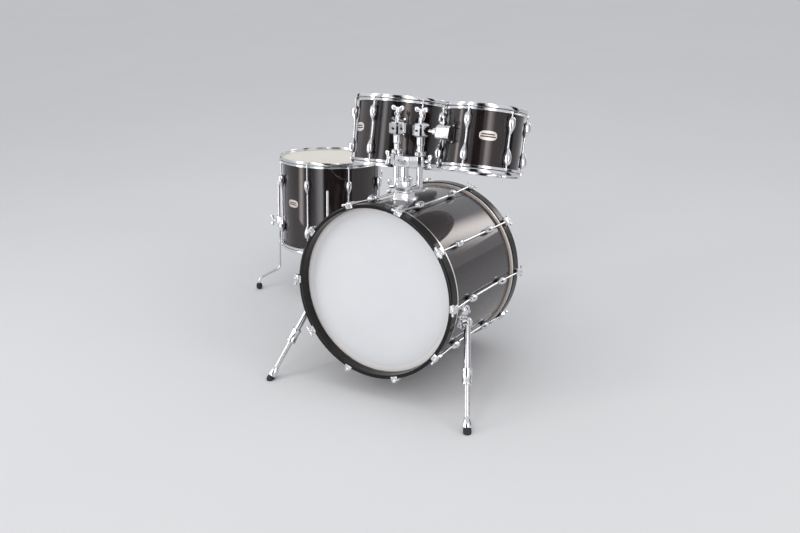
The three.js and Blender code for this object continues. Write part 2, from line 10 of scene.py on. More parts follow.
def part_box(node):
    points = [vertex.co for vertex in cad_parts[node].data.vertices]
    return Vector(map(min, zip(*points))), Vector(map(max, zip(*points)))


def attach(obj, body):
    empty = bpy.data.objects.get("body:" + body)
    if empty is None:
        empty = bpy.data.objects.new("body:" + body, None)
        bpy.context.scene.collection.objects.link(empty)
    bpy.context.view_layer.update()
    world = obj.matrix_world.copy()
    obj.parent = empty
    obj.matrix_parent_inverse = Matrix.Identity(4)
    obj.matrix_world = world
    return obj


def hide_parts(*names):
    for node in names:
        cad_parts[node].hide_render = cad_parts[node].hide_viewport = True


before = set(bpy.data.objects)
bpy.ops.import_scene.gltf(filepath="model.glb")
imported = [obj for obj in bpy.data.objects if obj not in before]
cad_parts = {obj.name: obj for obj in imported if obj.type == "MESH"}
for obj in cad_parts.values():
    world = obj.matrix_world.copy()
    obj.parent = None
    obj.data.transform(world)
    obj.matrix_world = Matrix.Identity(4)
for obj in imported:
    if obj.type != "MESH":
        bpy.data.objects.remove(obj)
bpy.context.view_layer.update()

MM = 0.001
INCH = 25.4
I4 = Matrix.Identity(4)
X, Z = Vector((1, 0, 0)), Vector((0, 0, 1))

# ------------------------------ where things are

LEAN = math.radians(8.15)
BASS = dict(r=11 * INCH, length=17 * INCH, wall=7.5, lugs=10, first=0.0, spread=0.25)
LEFT_TOM = dict(r=6 * INCH, length=8.5 * INCH, wall=6, lugs=6, first=math.radians(24.7), spread=0.26)
RIGHT_TOM = dict(r=5 * INCH, length=7.5 * INCH, wall=6, lugs=6, first=math.radians(31.7), spread=0.26)
FLOOR_TOM = dict(r=8 * INCH, length=14 * INCH, wall=7, lugs=8, first=math.radians(8), spread=0.26)
LEFT_TOM_AT = Vector((-145, 151, 461))
RIGHT_TOM_AT = Vector((212, 79, 474))
FLOOR_TOM_AT = Vector((-654, 465.4, -74.3))
TOM_ROLL = math.radians(-1.3)
POST = dict(x=0, y=-60, r=14.3, bottom=235, top=417)


def shift(v):
    return Matrix.Translation(Vector(v))


def turn(degrees, axis="Z"):
    return Matrix.Rotation(math.radians(degrees), 4, axis)


def add_object(name, data):
    obj = bpy.data.objects.new(name, data)
    bpy.context.collection.objects.link(obj)
    return obj


def middle_of(node):
    low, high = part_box(node)
    return (Vector(low) + Vector(high)) / 2 / MM


LEAN_BACK = Matrix.Rotation(-LEAN, 4, "X")
post_middle = LEAN_BACK @ Vector((POST["x"], POST["y"], (POST["bottom"] + POST["top"]) / 2))
KIT = shift(middle_of("holder_post") - post_middle) @ LEAN_BACK  # the leaning frame of the drums
BASS_AT = KIT @ turn(90, "X")
FLOOR_AT = KIT @ shift(FLOOR_TOM_AT + Z * FLOOR_TOM["length"] / 2)


def tom_frame(centre, tilt):
    return KIT @ shift(centre) @ turn(-tilt, "X") @ Matrix.Rotation(TOM_ROLL, 4, "Y")


LEFT_AT = tom_frame(LEFT_TOM_AT, 10.5)
RIGHT_AT = tom_frame(RIGHT_TOM_AT, 13)

# ------------------------------ camera

CAMERA_AT = Vector((1469.55, -2463.76, 1581.83))  # from the floor under the bass drum's middle
CAMERA_LENS = 40.70
TURN, DIP, ROLL = math.radians(31.55), math.radians(23.10), math.radians(-3.25)


def place_camera():
    camera = add_object("camera", bpy.data.cameras.new("camera"))
    camera.data.lens = CAMERA_LENS
    camera.data.sensor_width = 36
    camera.data.clip_end = 100
    forward = Vector((-math.sin(TURN) * math.cos(DIP), math.cos(TURN) * math.cos(DIP), -math.sin(DIP)))
    right = Vector((math.cos(TURN), math.sin(TURN), 0))
    up = right.cross(forward)
    side = math.cos(ROLL) * right + math.sin(ROLL) * up
    top = -math.sin(ROLL) * right + math.cos(ROLL) * up
    axes = Matrix((side, top, -forward)).transposed().to_4x4()
    under_bass = KIT.translation.copy()
    under_bass.z = 0
    camera.matrix_world = shift((CAMERA_AT + under_bass) * MM) @ axes
    bpy.context.scene.camera = camera


# ------------------------------ materials


class Finish:
    """A Principled material whose varying sockets are fed by noise in the piece's own coordinates."""

    def __init__(self, name, metallic, fixed):
        self.material = bpy.data.materials.new(name)
        self.material.use_nodes = True
        self.tree = self.material.node_tree
        self.shader = self.tree.nodes["Principled BSDF"]
        self.shader.inputs["Metallic"].default_value = metallic
        for socket, value in fixed.items():
            self.shader.inputs[socket.replace("_", " ")].default_value = value
        self.coordinates = self.tree.nodes.new("ShaderNodeTexCoord").outputs["Object"]

    def noise(self, scale, stretch=(1, 1, 1), detail=3.0):
        mapping = self.tree.nodes.new("ShaderNodeMapping")
        mapping.inputs["Scale"].default_value = stretch
        self.tree.links.new(self.coordinates, mapping.inputs["Vector"])
        texture = self.tree.nodes.new("ShaderNodeTexNoise")
        texture.inputs["Scale"].default_value = scale
        texture.inputs["Detail"].default_value = detail
        self.tree.links.new(mapping.outputs["Vector"], texture.inputs["Vector"])
        return texture.outputs["Fac"]

    def colours(self, fac, dark, light):
        ramp = self.tree.nodes.new("ShaderNodeValToRGB")
        for element, position, colour in zip(ramp.color_ramp.elements, (0.3, 0.7), (dark, light)):
            element.position = position
            element.color = (*colour, 1)
        self.tree.links.new(fac, ramp.inputs["Fac"])
        self.tree.links.new(ramp.outputs["Color"], self.shader.inputs["Base Color"])

    def rough(self, fac, low, high):
        span = self.tree.nodes.new("ShaderNodeMapRange")
        span.inputs["To Min"].default_value = low
        span.inputs["To Max"].default_value = high
        self.tree.links.new(fac, span.inputs["Value"])
        self.tree.links.new(span.outputs["Result"], self.shader.inputs["Roughness"])

    def bump(self, fac, strength, distance):
        node = self.tree.nodes.new("ShaderNodeBump")
        node.inputs["Strength"].default_value = strength
        node.inputs["Distance"].default_value = distance
        self.tree.links.new(fac, node.inputs["Height"])
        self.tree.links.new(node.outputs["Normal"], self.shader.inputs["Normal"])


def make_finish(name, grain, dark, light, gloss=None, rough=None, bump=None, metallic=0.0, **fixed):
    """Colour follows the noise grain, roughness the noise gloss; bump is (noise, strength, distance)."""
    finish = Finish(name, metallic, fixed)
    finish.colours(finish.noise(*grain), dark, light)
    if gloss:
        finish.rough(finish.noise(*gloss), *rough)
    if bump:
        finish.bump(finish.noise(*bump[0]), *bump[1:])
    return finish.material


EVEN = (1, 1, 1)  # a noise that isn't stretched
FINISH = {
    "lacquer": make_finish(
        "lacquer", (22, (9, 9, 0.6), 5), (0.007, 0.0038, 0.0036), (0.02, 0.0105, 0.0105),
        (60,), (0.25, 0.35), Coat_Weight=1.0, Coat_Roughness=0.03, Specular_IOR_Level=0.12,
    ),
    "maple": make_finish(
        "maple", (14, (7, 7, 0.8), 6), (0.34, 0.2, 0.1), (0.6, 0.42, 0.25), (90,), (0.42, 0.6),
    ),
    "chrome": make_finish(
        "chrome", (30,), (0.73, 0.74, 0.76), (0.82, 0.825, 0.84), (120, EVEN, 5), (0.09, 0.17), metallic=1.0,
    ),
    "cast": make_finish(
        "cast", (55,), (0.73, 0.735, 0.75), (0.84, 0.845, 0.855), (160, EVEN, 5), (0.12, 0.24),
        ((420,), 0.05, 0.0003), metallic=1.0,
    ),
    "aluminium": make_finish(
        "aluminium", (12,), (0.87, 0.86, 0.82), (0.94, 0.93, 0.9), (200, EVEN, 5), (0.18, 0.34), metallic=1.0,
    ),
    "cream": make_finish(
        "cream_ring", (25,), (0.7, 0.635, 0.585), (0.78, 0.715, 0.665), (70,), (0.24, 0.34), metallic=0.25,
    ),
    "satin": make_finish(
        "satin_steel", (30, (1, 1, 12)), (0.64, 0.64, 0.62), (0.76, 0.76, 0.75),
        (150, (1, 1, 8), 5), (0.2, 0.36), metallic=1.0,
    ),
    "black": make_finish(
        "black_gloss", (30,), (0.006, 0.0055, 0.0055), (0.014, 0.0125, 0.0115), (70,), (0.14, 0.22),
        Specular_IOR_Level=0.24,
    ),
    "white": make_finish(
        "white_film", (6,), (0.75, 0.765, 0.78), (0.79, 0.8, 0.815), (40,), (0.32, 0.44),
    ),
    "border": make_finish(
        "film_border", (12,), (0.86, 0.83, 0.81), (0.92, 0.89, 0.87), (60,), (0.28, 0.42),
    ),
    "coated": make_finish(
        "coated_film", (700, EVEN, 4), (0.69, 0.66, 0.585), (0.79, 0.76, 0.69), (300,), (0.72, 0.9),
        ((900, EVEN, 4), 0.25, 0.0005),
    ),
    "clear": make_finish(
        "clear_film", (9,), (0.63, 0.64, 0.645), (0.68, 0.688, 0.69), (50,), (0.3, 0.34),
    ),
    "rubber": make_finish(
        "rubber", (180,), (0.013, 0.014, 0.017), (0.028, 0.029, 0.033), (240,), (0.62, 0.85),
        ((900,), 0.15, 0.0004),
    ),
    "resin": make_finish(
        "resin", (120,), (0.02, 0.02, 0.022), (0.036, 0.036, 0.04), (200,), (0.32, 0.48),
    ),
    "floor": make_finish(
        "floor", (1.5,), (0.676, 0.68, 0.684), (0.688, 0.691, 0.694), Roughness=0.85, Specular_IOR_Level=0.0,
    ),
}

# ------------------------------ mesh code

BEVEL_OVER = math.radians(28)  # edges turning by more than this take a bevel
SHARP_OVER = math.radians(33)  # and edges left with more than this are shaded sharp


class Piece:
    """Collects closed shapes in millimetres, then becomes one object that rides on a body."""

    def __init__(self, *finishes):
        self.finishes = list(finishes)
        self.bm = bmesh.new()

    def shape(self, vertices, faces, at=I4, finish=None, bevel=0.0, segments=2):
        part = bmesh.new()
        made = [part.verts.new(v) for v in vertices]
        for face in faces:
            part.faces.new([made[i] for i in face])
        bmesh.ops.recalc_face_normals(part, faces=part.faces)
        if bevel:
            edges = [e for e in part.edges if e.is_manifold and e.calc_face_angle() > BEVEL_OVER]
            bmesh.ops.bevel(part, geom=edges, offset=bevel, segments=segments, profile=0.5, affect="EDGES")
        bmesh.ops.transform(part, matrix=at, verts=part.verts)
        if at.determinant() < 0:
            bmesh.ops.reverse_faces(part, faces=part.faces)
        index = self.finishes.index(finish) if finish else 0
        for face in part.faces:
            face.material_index = index
        mesh = bpy.data.meshes.new("part")
        part.to_mesh(mesh)
        part.free()
        self.bm.from_mesh(mesh)
        bpy.data.meshes.remove(mesh)

    def loft(self, rings, at=I4, finish=None, closed=False):
        """Joins rings of equal length, and caps both ends unless the row of rings closes on itself."""
        size = len(rings[0])
        vertices = [v for ring in rings for v in ring]
        count = len(rings)
        faces = []
        for i in range(count if closed else count - 1):
            a, b = i * size, (i + 1) % count * size
            for j in range(size):
                k = (j + 1) % size
                faces.append((a + j, a + k, b + k, b + j))
        if not closed:
            faces.append(tuple(reversed(range(size))))
            faces.append(tuple(range((count - 1) * size, count * size)))
        self.shape(vertices, faces, at, finish)

    def lathe(self, profile, at=I4, finish=None, sides=48, start=0.0, sweep=360.0):
        """Turns (radius, height) points round Z. A profile ends on the axis or closes on itself."""
        full = sweep >= 360
        steps = sides if full else sides + 1
        angles = [math.radians(start + sweep * i / sides) for i in range(steps)]
        if profile[0] == profile[-1]:
            rings = [[(r * math.cos(a), r * math.sin(a), z) for r, z in profile[:-1]] for a in angles]
            self.loft(rings, at, finish, closed=full)
            return
        vertices, starts = [], []
        for r, z in profile:
            starts.append(len(vertices))
            ring = [(0, 0, z)] if r == 0 else [(r * math.cos(a), r * math.sin(a), z) for a in angles]
            vertices.extend(ring)
        faces = []
        for i in range(len(profile) - 1):
            low, high = starts[i], starts[i + 1]
            for j in range(sides):
                k = (j + 1) % sides
                corners = [low] if profile[i][0] == 0 else [low + j, low + k]
                corners += [high] if profile[i + 1][0] == 0 else [high + k, high + j]
                faces.append(tuple(corners))
        self.shape(vertices, faces, at, finish)

    def rod(self, radius, low, high, at=I4, finish=None, sides=16):
        self.lathe([(0, low), (radius, low), (radius, high), (0, high)], at, finish, sides)

    def box(self, low, high, at=I4, finish=None, bevel=0.0):
        (x0, y0, z0), (x1, y1, z1) = low, high
        vertices = [(x, y, z) for z in (z0, z1) for y in (y0, y1) for x in (x0, x1)]
        faces = [(0, 2, 3, 1), (4, 5, 7, 6), (0, 1, 5, 4), (2, 6, 7, 3), (0, 4, 6, 2), (1, 3, 7, 5)]
        self.shape(vertices, faces, at, finish, bevel)

    def prism(self, outline, z0, z1, at=I4, finish=None, bevel=0.0, segments=2):
        size = len(outline)
        vertices = [(x, y, z) for z in (z0, z1) for x, y in outline]
        faces = [tuple(reversed(range(size))), tuple(range(size, 2 * size))]
        faces += [(i, (i + 1) % size, (i + 1) % size + size, i + size) for i in range(size)]
        self.shape(vertices, faces, at, finish, bevel, segments)

    def tube(self, path, radius, at=I4, finish=None, sides=16):
        """A round bar along points, with softly rounded ends."""
        points = [Vector(p) for p in path]
        rings = []
        side = None
        for i, point in enumerate(points):
            ahead = (points[min(i + 1, len(points) - 1)] - points[max(i - 1, 0)]).normalized()
            side = ahead.orthogonal() if side is None else side - ahead * side.dot(ahead)
            side.normalize()
            other = ahead.cross(side)
            ends = {0: [(-0.0, 0.6), (0.35, 1.0)], len(points) - 1: [(-0.35, 1.0), (0.0, 0.6)]}
            for along, scale in ends.get(i, [(0, 1)]):
                centre = point + ahead * along * radius
                angles = [2 * math.pi * k / sides for k in range(sides)]
                rings.append([
                    centre + (side * math.cos(a) + other * math.sin(a)) * radius * scale for a in angles
                ])
        self.loft(rings, at, finish)

    def carve(self, make):
        """Cuts away what make builds in another piece."""
        cutter = Piece()
        make(cutter)
        objects = []
        for bm in (self.bm, cutter.bm):
            mesh = bpy.data.meshes.new("carving")
            bm.to_mesh(mesh)
            objects.append(add_object("carving", mesh))
        body, knife = objects
        change = body.modifiers.new("cut", "BOOLEAN")
        change.operation = "DIFFERENCE"
        change.solver = "EXACT"
        change.object = knife
        bpy.context.view_layer.update()
        result = bpy.data.meshes.new_from_object(body.evaluated_get(bpy.context.evaluated_depsgraph_get()))
        self.bm.clear()
        self.bm.from_mesh(result)
        for obj in objects:
            mesh = obj.data
            bpy.data.objects.remove(obj)
            bpy.data.meshes.remove(mesh)
        bpy.data.meshes.remove(result)

    def build(self, name, at=I4):
        """Makes the object, in metres, with the frame at baked into its mesh."""
        bm = self.bm
        bmesh.ops.scale(bm, vec=(MM, MM, MM), verts=bm.verts)
        for edge in bm.edges:
            edge.smooth = not (edge.is_manifold and edge.calc_face_angle() > SHARP_OVER)
        for face in bm.faces:
            face.smooth = True
        mesh = bpy.data.meshes.new(name)
        bm.to_mesh(mesh)
        bm.free()
        mesh.transform(shift(at.translation * MM) @ at.to_3x3().to_4x4())
        for finish in self.finishes:
            mesh.materials.append(FINISH[finish])
        return add_object(name, mesh)

    def place(self, name, body, at, nodes, slot, keep_above=None):
        """Builds the object in the frame at, riding on a body and standing for CAD nodes."""
        if keep_above is not None:
            back = at.inverted()
            for v in self.bm.verts:
                world = at @ v.co
                if world.z < keep_above:
                    world.z = keep_above
                    v.co = back @ world
        obj = self.build(name, at)
        bpy.context.view_layer.update()
        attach(obj, body)
        if nodes:
            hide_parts(*nodes)


def aimed(origin, direction):
    """A frame at origin with +Z along direction."""
    z = Vector(direction).normalized()
    side = X if abs(z.z) > 0.99 else Z
    x = side.cross(z).normalized()
    axes = Matrix((x, z.cross(x), z)).transposed().to_4x4()
    return shift(origin) @ axes


def polar(angle):
    return Vector((math.cos(angle), math.sin(angle), 0))


def lug_angles(drum):
    return [drum["first"] + 2 * math.pi * i / drum["lugs"] for i in range(drum["lugs"])]


def eased(points, steps):
    """A smooth curve through the points (Catmull-Rom)."""
    result = []
    for i in range(len(points) - 1):
        p = [Vector(points[max(0, min(len(points) - 1, i + k))]) for k in (-1, 0, 1, 2)]
        for s in range(steps):
            t = s / steps
            result.append(0.5 * (
                2 * p[1] + (p[2] - p[0]) * t + (2 * p[0] - 5 * p[1] + 4 * p[2] - p[3]) * t ** 2
                + (3 * p[1] - p[0] - 3 * p[2] + p[3]) * t ** 3
            ))
    result.append(Vector(points[-1]))
    return result


def rounded(half_x, half_y, radius, steps=5):
    """The outline of a rectangle with round corners."""
    points = []
    for sx, sy, start in ((1, 1, 0), (-1, 1, 90), (-1, -1, 180), (1, -1, 270)):
        for i in range(steps + 1):
            a = math.radians(start + 90 * i / steps)
            points.append((
                sx * (half_x - radius) + radius * math.cos(a), sy * (half_y - radius) + radius * math.sin(a),
            ))
    return points


def oval(half_x, half_y, steps, power):
    """An oval, the fuller the lower the power is under 1."""
    points = []
    for i in range(steps):
        c, s = math.cos(2 * math.pi * i / steps), math.sin(2 * math.pi * i / steps)
        points.append((
            half_x * math.copysign(abs(c) ** power, c), half_y * math.copysign(abs(s) ** power, s),
        ))
    return points


def on_shell(piece, outline, r, angle, z, layers, at=I4, finish=None):
    """A plate that follows a shell: the outline, scaled and raised layer by layer, capped in rings."""
    rings = []
    for scale, height in layers:
        rings.append([
            polar(angle + scale * u / r) * (r + height) + Z * (z + scale * v) for u, v in outline
        ])
    piece.loft(rings, at, finish)


def hexagon(radius):
    corners = [math.radians(60 * i) for i in range(6)]
    return [(radius * math.cos(a), radius * math.sin(a)) for a in corners]


def plate_layers(thick):
    """The layers of a plate that stays this thick right to its middle."""
    edge = [(1, 0.3), (1, thick - 1.4), (0.985, thick - 0.5)]
    return edge + [(k / 10, thick) for k in range(9, 0, -1)] + [(0.01, thick)]


# ------------------------------ drums

LUG_STAND = 12
LUG_HALF = 26


def lug_height(drum):
    return drum["length"] * drum["spread"]


def add_lug(piece, drum, angle):
    """Two pear-shaped casings seated on the shell, joined by a slender bridge."""
    h = lug_height(drum)
    half_row = [  # height from the casing's middle outwards, half width, depth, distance off the shell
        (h + 26, 5.6, 6.2, 11.8), (h + 24.4, 7.8, 9.0, 12.0), (h + 18, 10.2, 12.2, 12.2),
        (h + 8, 11.4, 13.8, 12.2), (h - 3, 10.8, 13.0, 12.2), (h - 15, 7.2, 9.4, 11.4),
        (h - 25, 4.2, 5.2, 9.8), (max(h - 36, 6), 3.2, 3.6, 9.0),
    ]
    row = half_row + [(-z, a, b, c) for z, a, b, c in reversed(half_row)]
    rings = []
    for z, a, b, c in eased([Vector(entry) for entry in row], 4):
        ring = []
        for u, v in oval(a, b, 20, 0.9):
            ring.append((drum["r"] + c + v, u, z))
        rings.append(ring)
    at = Matrix.Rotation(angle, 4, "Z")
    piece.loft(rings, at, "chrome")
    for side in (1, -1):
        flip = at if side > 0 else at @ turn(180, "X")
        nut = shift((drum["r"] + LUG_STAND - 0.4, 0, h + LUG_HALF - 3))
        piece.lathe([(0, 0), (4.1, 0), (4.1, 4.2), (3.5, 5), (0, 5)], flip @ nut, "cast", 14)


def make_shell(prefix, drum, at, body):
    r, wall, half = drum["r"], drum["wall"], drum["length"] / 2
    sides = 160
    shell = Piece("lacquer", "maple")
    shell.lathe([
        (r - wall, -half + 2), (r - wall / 2, -half), (r - 1.5, -half + 0.6), (r, -half + 3),
        (r, -half + 4), (r, half - 4), (r, half - 3), (r - 1.5, half - 0.6), (r - wall / 2, half),
        (r - wall, half - 2), (r - wall, -half + 2),
    ], I4, "lacquer", sides)
    for face in shell.bm.faces:
        middle = face.calc_center_median()
        if math.hypot(middle.x, middle.y) < r - wall / 2:
            face.material_index = 1
    shell.place(f"{prefix}_shell_wood", body, at, [f"{prefix}_shell"], "lacquered_shell")
    lugs = Piece("chrome", "cast")
    for angle in lug_angles(drum):
        add_lug(lugs, drum, angle)
    lugs.place(f"{prefix}_lugs", body, at, (), "chrome")


def end_frame(drum, side):
    """The frame at a drum's end, with +Z pointing out of it."""
    frame_at = shift((0, 0, side * drum["length"] / 2))
    return frame_at if side > 0 else frame_at @ Matrix.Scale(-1, 4, Z)


def make_head(prefix, end, side, drum, at, body, film):
    is_bass = drum is BASS
    r = drum["r"]
    ring_out = r + (9 if is_bass else 6.5)
    edge = r - drum["wall"] / 2
    end_at = end_frame(drum, side)
    rim = "cream" if is_bass and end == "back" else "aluminium"
    head = Piece(film, "border", rim) if is_bass else Piece(film, rim)
    collar = edge - 6
    top = 1.5
    if is_bass:
        border = r - 19
        head.rod(border, 0.4, top, end_at, film, 128)
        head.lathe([
            (border, 0.4), (collar, 0.4), (edge, 0.2), (r + 0.6, -3), (r + 0.6, -2), (edge + 1, 1.2),
            (collar, top - 0.1), (border, top - 0.1), (border, 0.4),
        ], end_at, "border", 128)
    else:
        head.lathe([
            (0, 0.4), (collar, 0.4), (edge, 0.2), (r + 0.6, -3), (r + 0.6, -2), (edge + 1, 1.2),
            (collar, top), (0, top),
        ], end_at, film, 112)
    depth = -9
    head.lathe([
        (r + 0.7, depth), (ring_out - 0.8, depth), (ring_out, depth + 0.8), (ring_out, 0.6),
        (ring_out - 0.8, top), (r + 1.6, top), (r + 0.7, 0.4), (r + 0.7, depth),
    ], end_at, rim, 128)
    head.place(f"{prefix}_{end}_head_film", body, at, [f"{prefix}_{end}_head"], f"{film}_head")


def make_flanged_hoop(prefix, end, side, drum, at, body):
    """A triple-flanged hoop with its ears and a black ring painted into its bend as shade, and tension rods
    with square heads.
    """
    r = drum["r"]
    inner = r + 6
    end_at = end_frame(drum, side)
    hoop = Piece("chrome", "black")
    hoop.lathe([
        (r + 2.0, 1.9), (inner + 0.9, 1.9), (inner + 0.9, -6.2), (inner + 2.6, -8.6), (inner + 4.9, -8.9),
        (inner + 4.9, -7.4), (inner + 4.2, -6.6), (inner + 4.0, -1.6), (inner + 3.4, -1.0),
        (inner + 2.0, -0.8), (inner + 2.0, 1.2), (inner + 3.0, 1.5), (inner + 3.4, 2.2),
        (inner + 3.2, 7), (inner + 3.4, 11.4), (inner + 3.0, 12.9), (inner + 1.4, 12.9), (inner + 0.6, 11.0),
        (inner + 0.6, 4.1), (r + 2.6, 3.9), (r + 2.0, 3.2), (r + 2.0, 1.9),
    ], end_at, "chrome", 128)
    # The black ring in the flange's bend is painted shade and a painted dark reflection: the real hoop is
    # chrome all over there, and its bend only looks dark.
    hoop.lathe([
        (inner + 1.6, -0.9), (inner + 2.6, -0.9), (inner + 2.6, 1.3), (inner + 1.6, 1.3), (inner + 1.6, -0.9),
    ], end_at, "black", 128)
    rods = Piece("chrome")
    lug_top = lug_height(drum) + LUG_HALF - drum["length"] / 2
    x = r + LUG_STAND
    for angle in lug_angles(drum):
        spot = end_at @ Matrix.Rotation(angle, 4, "Z")
        ear = [(inner + 1.5, -10), (inner + 1.5, 10), (x, 8), (x + 4.5, 6), (x + 7, 2.4), (x + 7, -2.4),
               (x + 4.5, -6), (x, -8)]
        hoop.prism(ear, -8.9, -6.4, spot, "chrome", 0.7)
        rods.lathe([
            (0, lug_top), (2.7, lug_top), (2.7, -6.5), (5.0, -6.5), (5.0, -5.2), (4.2, -5.0), (4.2, -2.6),
            (2.9, -1.8), (0, -1.8),
        ], spot @ shift((x, 0, 0)), "chrome", 16)
        rods.box((-2.5, -2.5, -2), (2.5, 2.5, 3.4), spot @ shift((x, 0, 0)), "chrome", 0.5)
    hoop.place(f"{prefix}_{end}_hoop_rim", body, at, [f"{prefix}_{end}_hoop"], "chrome")
    rods.place(f"{prefix}_{end}_rods", body, at, (), "chrome")


HOOP_OUT, HOOP_IN, HOOP_SEAT, HOOP_EDGE = 291.2, 278.5, 1.9, 39.5
ROD_OUT = 298.5


def make_bass_hoop(end, side, at, body):
    drum = BASS
    end_at = end_frame(drum, side)
    hoop = Piece("black")
    soft = 3.2
    hoop.lathe([
        (HOOP_IN, HOOP_SEAT), (HOOP_OUT - 1, HOOP_SEAT), (HOOP_OUT, HOOP_SEAT + 1),
        (HOOP_OUT, HOOP_EDGE - soft - 2), (HOOP_OUT, HOOP_EDGE - soft),
        (HOOP_OUT - 0.9, HOOP_EDGE - 0.9), (HOOP_OUT - soft, HOOP_EDGE), (HOOP_IN + soft, HOOP_EDGE),
        (HOOP_IN + 0.9, HOOP_EDGE - 0.9), (HOOP_IN, HOOP_EDGE - soft), (HOOP_IN, HOOP_EDGE - soft - 2),
        (HOOP_IN, HOOP_SEAT),
    ], end_at, "black", 192)
    hoop.place(f"bass_{end}_hoop_rim", body, at, [f"bass_{end}_hoop"], "black_hoop")
    claws = Piece("cast", "black")
    rods = Piece("chrome", "cast")
    lug_top = lug_height(drum) + LUG_HALF - drum["length"] / 2
    cap = HOOP_EDGE + 2.5
    for angle in lug_angles(drum):
        lowest = math.sin(angle) < -0.9
        spot = end_at @ Matrix.Rotation(angle, 4, "Z")
        wall = ROD_OUT + (1.5 if lowest else 4.5)
        side_view = [
            (HOOP_IN + 4, HOOP_EDGE + 0.2), (HOOP_IN + 4.4, cap), (wall - 4, cap), (wall - 1, cap - 1.4),
            (wall, cap - 5), (wall, cap - 20), (wall - 3, cap - 28), (HOOP_OUT + 0.4, cap - 28),
            (HOOP_OUT + 0.4, HOOP_EDGE + 0.2),
        ]
        upright = spot @ turn(90, "X")
        claws.prism(side_view, -12.5, 12.5, upright, "cast", 1.1, 3)
        claws.prism([
            (HOOP_IN + 4.2, HOOP_EDGE + 0.02), (HOOP_OUT + 0.3, HOOP_EDGE + 0.02),
            (HOOP_OUT + 0.3, HOOP_EDGE + 0.4), (HOOP_IN + 4.2, HOOP_EDGE + 0.4),
        ], -11.5, 11.5, upright, "black")
        start = Vector((drum["r"] + LUG_STAND - 0.4, 0, lug_top))
        tip = Vector((ROD_OUT, 0, cap + 1))
        rods.tube([start, start.lerp(tip, 0.5), tip], 2.9, spot, "chrome", 14)
        out_at = spot @ shift((ROD_OUT, 0, 0))
        washer = [(0, cap), (5.6, cap), (5.6, cap + 1.2), (4.6, cap + 1.8), (0, cap + 1.8)]
        rods.lathe(washer, out_at, "cast", 18)
        if lowest:
            rods.box((-3.4, -2.7, cap + 1.5), (2, 2.7, cap + 10), out_at, "chrome", 0.6)
            continue
        rods.lathe([
            (0, cap + 1), (4.1, cap + 1), (3.6, cap + 4), (3.9, cap + 9), (2.8, cap + 11), (0, cap + 11.4),
        ], out_at, "cast", 16)
        half_handle = [(4.2, 3), (3.4, 8), (4.0, 13), (4.2, 17.5), (2.8, 19.7), (0, 20)]
        handle = [(across, -along) for across, along in reversed(half_handle)] + half_handle
        rods.lathe(handle, out_at @ shift((0, 0, cap + 6.9)) @ turn(90, "X"), "cast", 16)
    claws.place(f"bass_{end}_claws", body, at, (), "chrome")
    rods.place(f"bass_{end}_rods", body, at, (), "chrome")


def make_badge(name, drum, azimuth, lift, at, body):
    """A plain oval badge crossed by two dark bars: no lettering."""
    half_width, half_height, fullness = 28.5, 15.5, 0.72
    badge = Piece("cream", "black")
    angle = math.radians(azimuth)
    dome = [(1, -0.5), (1, 0.9), (0.97, 1.5)] + [(k / 10, 1.7) for k in range(9, 0, -1)] + [(0.01, 1.7)]
    outline = oval(half_width, half_height, 48, fullness)
    on_shell(badge, outline, drum["r"], angle, lift, dome, I4, "cream")
    raised = [(1, 1.0), (1, 2.0), (0.97, 2.1)] + [(k / 10, 2.1) for k in range(9, 0, -1)] + [(0.01, 2.1)]
    for z, reach, half in ((4.2, 21, 1.9), (-3.2, 24.5, 1.8)):
        edge = [reach * (1 - k / 8) for k in range(17)]
        bar = [(u, half) for u in edge] + [(-u, -half) for u in edge]
        on_shell(badge, bar, drum["r"], angle, lift + z, raised, I4, "black")
    badge.place(name, body, at, (), "chrome")


def make_drum(prefix, drum, at, body, ends, films):
    make_shell(prefix, drum, at, body)
    for end, side, film in zip(ends, (1, -1), films):
        make_head(prefix, end, side, drum, at, body, film)
        if drum is BASS:
            make_bass_hoop(end, side, at, body)
        else:
            make_flanged_hoop(prefix, end, side, drum, at, body)


# ------------------------------ wing bolts and collars


def make_wing(name, body, at, node, stem):
    """A cast wing bolt along +Z, its stem's tip at the origin."""
    wing = Piece("cast", "chrome")
    top = stem + 18
    wing.rod(3.9, 0, stem + 1, I4, "chrome")
    wing.lathe([
        (0, stem), (6.6, stem), (7.8, stem + 1), (7.8, stem + 4), (6.6, stem + 8), (5.6, top - 5),
        (4.2, top - 1), (2.2, top), (0, top),
    ], I4, "cast", 20)
    for side in (1, -1):
        rings = []
        for x, half_z, half_y, lift in ((2, 4.5, 3.0, -6), (7, 5.6, 2.5, -5), (12, 7.8, 2.4, -3.6),
                                        (17, 8.6, 2.5, -3), (21.2, 7.2, 2.3, -2.8), (23.4, 4.4, 1.7, -2.6),
                                        (24.2, 1.6, 0.8, -2.6)):
            rings.append([(side * x, u, top + lift + v) for u, v in oval(half_y, half_z, 16, 0.85)])
        wing.loft(rings, I4, "cast")
    wing.place(name, body, at, [node], "chrome")


def make_collar(name, body, at, node, bore, ear_degrees=0.0):
    """A memory lock: a split collar with a clamping lug and its small key bolt."""
    collar = Piece("cast", "chrome")
    out = bore + 7.3
    collar.lathe([
        (bore + 0.3, 0.3), (out - 1, 0.3), (out, 1.3), (out, 12.7), (out - 1, 13.7), (bore + 0.3, 13.7),
        (bore + 0.3, 0.3),
    ], turn(ear_degrees), "cast", 40, 8, 344)
    for side in (1, -1):
        low, high = sorted((side * 1.2, side * 5.0))
        collar.box((bore + 1.5, low, 2), (bore + 14.6, high, 12), turn(ear_degrees), "cast", 0.8)
    across = turn(ear_degrees) @ shift((bore + 10.5, 0, 7)) @ turn(90, "X")
    collar.rod(3.0, -6.4, 6.2, across, "chrome", 14)
    collar.place(name, body, at, [node], "chrome")


# ------------------------------ tom holder

